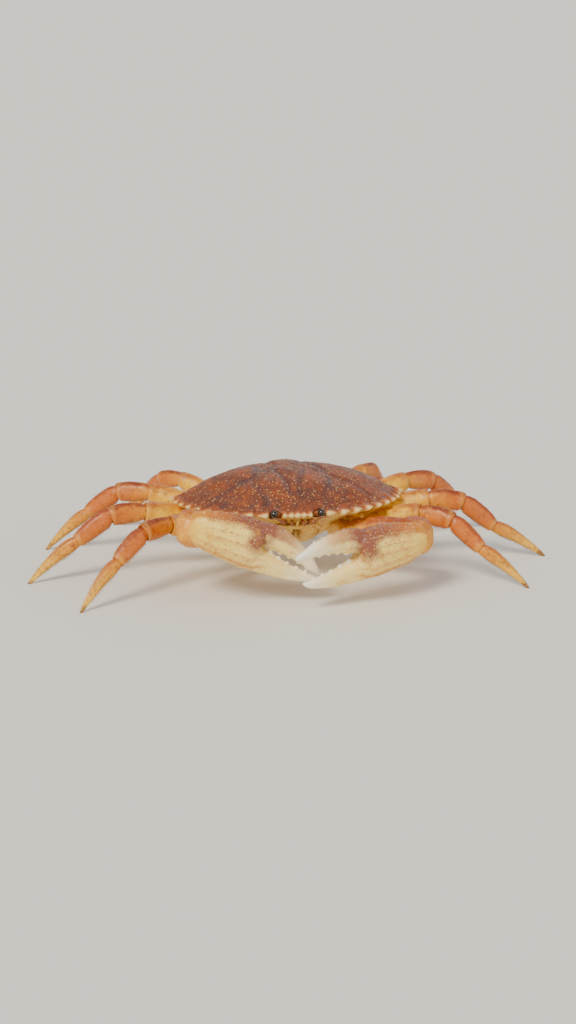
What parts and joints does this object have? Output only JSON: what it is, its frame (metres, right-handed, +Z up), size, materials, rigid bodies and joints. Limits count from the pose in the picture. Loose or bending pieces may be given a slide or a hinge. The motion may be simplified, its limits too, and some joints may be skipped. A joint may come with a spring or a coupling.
{
  "type": "dungeness crab",
  "caption": "Life-size still model of an adult Dungeness crab standing on its walking legs, with toothed oval shell and both claws folded in front of its face.",
  "frame": {"origin": "on the floor, under the middle of the crab's whole spread", "axes": "+Z up, -Y the way the crab faces, +X its left side"},
  "size_m": [0.3754, 0.2318, 0.0754],
  "materials": {
    "shell": "satin brown-orange shell with cream speckles",
    "underside": "satin cream underside",
    "arm": "satin orange-tan shell",
    "hand": "satin cream-yellow shell",
    "merus": "satin yellow shell",
    "shin": "satin orange shell",
    "dactyl": "satin yellow-orange horn",
    "eye": "wet black",
    "feeler": "satin brown-red"
  },
  "bodies": {
    "root": {"carapace": "shell", "thorax": "underside", "tail_flap": "underside", "mouth_plate_right": "underside", "mouth_plate_left": "underside", "eye_right": "eye", "eye_left": "eye", "antenna_right": "feeler", "antenna_left": "feeler", "claw_right_base": "underside", "claw_right_merus": "arm", "claw_right_carpus": "arm", "claw_right_palm": "hand", "claw_right_finger": "hand", "claw_left_base": "underside", "claw_left_merus": "arm", "claw_left_carpus": "arm", "claw_left_palm": "hand", "claw_left_finger": "hand", "leg_right_1_base": "underside", "leg_right_1_merus": "merus", "leg_right_1_carpus": "shin", "leg_right_1_propodus": "shin", "leg_right_1_dactyl": "dactyl", "leg_right_2_base": "underside", "leg_right_2_merus": "merus", "leg_right_2_carpus": "shin", "leg_right_2_propodus": "shin", "leg_right_2_dactyl": "dactyl", "leg_right_3_base": "underside", "leg_right_3_merus": "merus", "leg_right_3_carpus": "shin", "leg_right_3_propodus": "shin", "leg_right_3_dactyl": "dactyl", "leg_right_4_base": "underside", "leg_right_4_merus": "merus", "leg_right_4_carpus": "shin", "leg_right_4_propodus": "shin", "leg_right_4_dactyl": "dactyl", "leg_left_1_base": "underside", "leg_left_1_merus": "merus", "leg_left_1_carpus": "shin", "leg_left_1_propodus": "shin", "leg_left_1_dactyl": "dactyl", "leg_left_2_base": "underside", "leg_left_2_merus": "merus", "leg_left_2_carpus": "shin", "leg_left_2_propodus": "shin", "leg_left_2_dactyl": "dactyl", "leg_left_3_base": "underside", "leg_left_3_merus": "merus", "leg_left_3_carpus": "shin", "leg_left_3_propodus": "shin", "leg_left_3_dactyl": "dactyl", "leg_left_4_base": "underside", "leg_left_4_merus": "merus", "leg_left_4_carpus": "shin", "leg_left_4_propodus": "shin", "leg_left_4_dactyl": "dactyl"}
  },
  "joints": []
}
